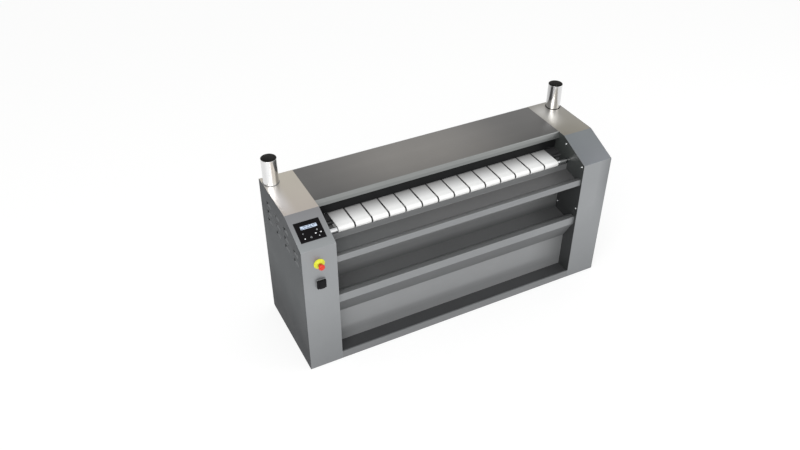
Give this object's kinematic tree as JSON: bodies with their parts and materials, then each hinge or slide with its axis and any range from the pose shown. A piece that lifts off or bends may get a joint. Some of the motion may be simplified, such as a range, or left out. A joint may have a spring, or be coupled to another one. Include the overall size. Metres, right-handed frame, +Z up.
{
  "type": "flatwork ironer",
  "caption": "Cylinder ironer with feed belts, upper feed tray, lower receiving tray, two end cabinets, slanted control panel, emergency stop and exhaust chimneys.",
  "frame": {"origin": "on the floor, under the middle of the overall bounding box", "axes": "+X to the right-hand cabinet as the operator sees it, +Y towards the back, +Z up"},
  "size_m": [2, 0.684, 1.118],
  "materials": {
    "casing_steel": "satin brushed",
    "side_paint": "satin",
    "inner_paint": "semi-gloss",
    "cover_paint": "satin",
    "tray_steel": "satin",
    "frame_paint": "satin",
    "sheet_steel": "zinc coated",
    "belt_cloth": "woven",
    "press_cloth": "woven, heat resistant",
    "rubber": "matt",
    "pipe_steel": "polished",
    "roller_steel": "turned",
    "machine_steel": "oiled",
    "bearing_iron": "painted",
    "motor_paint": "satin",
    "fan_alloy": "plain",
    "guard_paint": "satin",
    "dark_plastic": "matt",
    "grey_plastic": "satin",
    "membrane": "semi-gloss",
    "window": "clear",
    "keys": "satin",
    "yellow_plastic": "satin",
    "red_plastic": "glossy"
  },
  "bodies": {
    "machine": {"left_shell": "casing_steel", "right_shell": "casing_steel", "left_side_panel": "side_paint", "right_side_panel": "side_paint", "left_inner_plate": "inner_paint", "right_inner_plate": "inner_paint", "top_cover": "cover_paint", "feed_tray": "tray_steel", "receiving_tray": "tray_steel", "lower_front_panel": "tray_steel", "skirting": "tray_steel", "base_frame": "frame_paint", "rear_panels": "sheet_steel", "heat_shield": "sheet_steel", "electrical_plate": "sheet_steel", "fan_housings": "sheet_steel", "belt_support": "sheet_steel", "feed_belts": "belt_cloth", "ironing_belts": "press_cloth", "feet": "rubber", "chimney_grommets": "rubber", "feed_drive_belt": "rubber", "chimneys": "pipe_steel", "drive_chain": "machine_steel", "casing_screws": "machine_steel", "temperature_probes": "machine_steel", "stripper_fingers": "machine_steel", "heating_elements": "machine_steel", "cylinder_bearings": "bearing_iron", "roller_bearings": "bearing_iron", "gear_motor": "motor_paint", "switchgear": "dark_plastic", "switch_blocks": "dark_plastic", "cable_gland": "dark_plastic", "switch_plate": "grey_plastic", "control_panel": "membrane", "display_window": "window", "estop_collar": "yellow_plastic"},
    "cylinder": {"cylinder": "pipe_steel", "cylinder_sprocket": "machine_steel"},
    "entry_roller": {"entry_roller": "roller_steel"},
    "exit_roller": {"exit_roller": "roller_steel"},
    "rear_top_roller": {"rear_top_roller": "roller_steel"},
    "rear_bottom_roller": {"rear_bottom_roller": "roller_steel"},
    "front_feed_roller": {"feed_roller_front": "roller_steel"},
    "rear_feed_roller": {"feed_roller_rear": "roller_steel"},
    "motor_output": {"motor_sprocket": "machine_steel"},
    "left_fan": {"fan_impeller_left": "fan_alloy"},
    "right_fan": {"fan_impeller_right": "fan_alloy"},
    "guard": {"finger_guard": "guard_paint"},
    "estop_shaft": {"estop_stem": "machine_steel"},
    "estop_head": {"estop_button": "red_plastic"},
    "main_switch": {"switch_knob": "dark_plastic"},
    "key_start": {"key_start": "keys"},
    "key_stop": {"key_stop": "keys"},
    "key_menu": {"key_menu": "keys"},
    "key_left": {"key_left": "keys"},
    "key_right": {"key_right": "keys"},
    "key_up": {"key_up": "keys"},
    "key_down": {"key_down": "keys"}
  },
  "joints": [
    {"name": "cylinder_spin", "type": "hinge", "parent": "machine", "child": "cylinder", "pos_m": [0, 0.147, 0.71971], "axis": [-1, 0, 0], "continuous": true},
    {"name": "entry_roller_spin", "type": "hinge", "parent": "machine", "child": "entry_roller", "pos_m": [0, 0.08251, 0.85801], "axis": [1, 0, 0], "continuous": true},
    {"name": "exit_roller_spin", "type": "hinge", "parent": "machine", "child": "exit_roller", "pos_m": [0, 0.09481, 0.57631], "axis": [1, 0, 0], "continuous": true},
    {"name": "rear_top_roller_spin", "type": "hinge", "parent": "machine", "child": "rear_top_roller", "pos_m": [0, 0.2702, 0.85171], "axis": [1, 0, 0], "continuous": true},
    {"name": "rear_bottom_roller_spin", "type": "hinge", "parent": "machine", "child": "rear_bottom_roller", "pos_m": [0, 0.2702, 0.58771], "axis": [1, 0, 0], "continuous": true},
    {"name": "front_feed_roller_spin", "type": "hinge", "parent": "machine", "child": "front_feed_roller", "pos_m": [0, -0.133, 0.8147], "axis": [-1, 0, 0], "continuous": true},
    {"name": "rear_feed_roller_spin", "type": "hinge", "parent": "machine", "child": "rear_feed_roller", "pos_m": [0, 0.027, 0.8147], "axis": [-1, 0, 0], "continuous": true},
    {"name": "motor_output_spin", "type": "hinge", "parent": "machine", "child": "motor_output", "pos_m": [0, 0.022, 0.33], "axis": [-1, 0, 0], "continuous": true},
    {"name": "left_fan_spin", "type": "hinge", "parent": "machine", "child": "left_fan", "pos_m": [0, 0.20895, 0.8], "axis": [1, 0, 0], "continuous": true},
    {"name": "right_fan_spin", "type": "hinge", "parent": "machine", "child": "right_fan", "pos_m": [0, 0.20895, 0.8], "axis": [1, 0, 0], "continuous": true},
    {"name": "guard_swing", "type": "hinge", "parent": "machine", "child": "guard", "pos_m": [0, -0.002, 0.938], "axis": [1, 0, 0], "range_deg": [0, 12]},
    {"name": "estop_push", "type": "slide", "parent": "machine", "child": "estop_shaft", "axis": [0, 1, 0], "range_m": [0, 0.005]},
    {"name": "estop_twist", "type": "hinge", "parent": "estop_shaft", "child": "estop_head", "pos_m": [-0.902, -0.328, 0.762], "axis": [0, 1, 0], "range_deg": [0, 45], "stiffness_Nm_per_rad": 0.05},
    {"name": "main_switch_turn", "type": "hinge", "parent": "machine", "child": "main_switch", "pos_m": [-0.9, -0.308, 0.626], "axis": [0, 1, 0], "range_deg": [0, 90]},
    {"name": "key_start_press", "type": "slide", "parent": "machine", "child": "key_start", "axis": [0, 0.3879, -0.9217], "range_m": [0, 0.0008], "stiffness_N_per_m": 500},
    {"name": "key_stop_press", "type": "slide", "parent": "machine", "child": "key_stop", "axis": [0, 0.3879, -0.9217], "range_m": [0, 0.0008], "stiffness_N_per_m": 500},
    {"name": "key_menu_press", "type": "slide", "parent": "machine", "child": "key_menu", "axis": [0, 0.3879, -0.9217], "range_m": [0, 0.0008], "stiffness_N_per_m": 500},
    {"name": "key_left_press", "type": "slide", "parent": "machine", "child": "key_left", "axis": [0, 0.3879, -0.9217], "range_m": [0, 0.0008], "stiffness_N_per_m": 500},
    {"name": "key_right_press", "type": "slide", "parent": "machine", "child": "key_right", "axis": [0, 0.3879, -0.9217], "range_m": [0, 0.0008], "stiffness_N_per_m": 500},
    {"name": "key_up_press", "type": "slide", "parent": "machine", "child": "key_up", "axis": [0, 0.3879, -0.9217], "range_m": [0, 0.0008], "stiffness_N_per_m": 500},
    {"name": "key_down_press", "type": "slide", "parent": "machine", "child": "key_down", "axis": [0, 0.3879, -0.9217], "range_m": [0, 0.0008], "stiffness_N_per_m": 500}
  ],
  "couplings": [
    {"joint": "entry_roller_spin", "follows": "cylinder_spin", "ratio": 4.8023},
    {"joint": "exit_roller_spin", "follows": "cylinder_spin", "ratio": 4.8023},
    {"joint": "rear_top_roller_spin", "follows": "cylinder_spin", "ratio": 4.8023},
    {"joint": "rear_bottom_roller_spin", "follows": "cylinder_spin", "ratio": 4.8023},
    {"joint": "front_feed_roller_spin", "follows": "cylinder_spin", "ratio": 7.3006},
    {"joint": "rear_feed_roller_spin", "follows": "cylinder_spin", "ratio": 7.3006},
    {"joint": "motor_output_spin", "follows": "cylinder_spin", "ratio": 2}
  ]
}
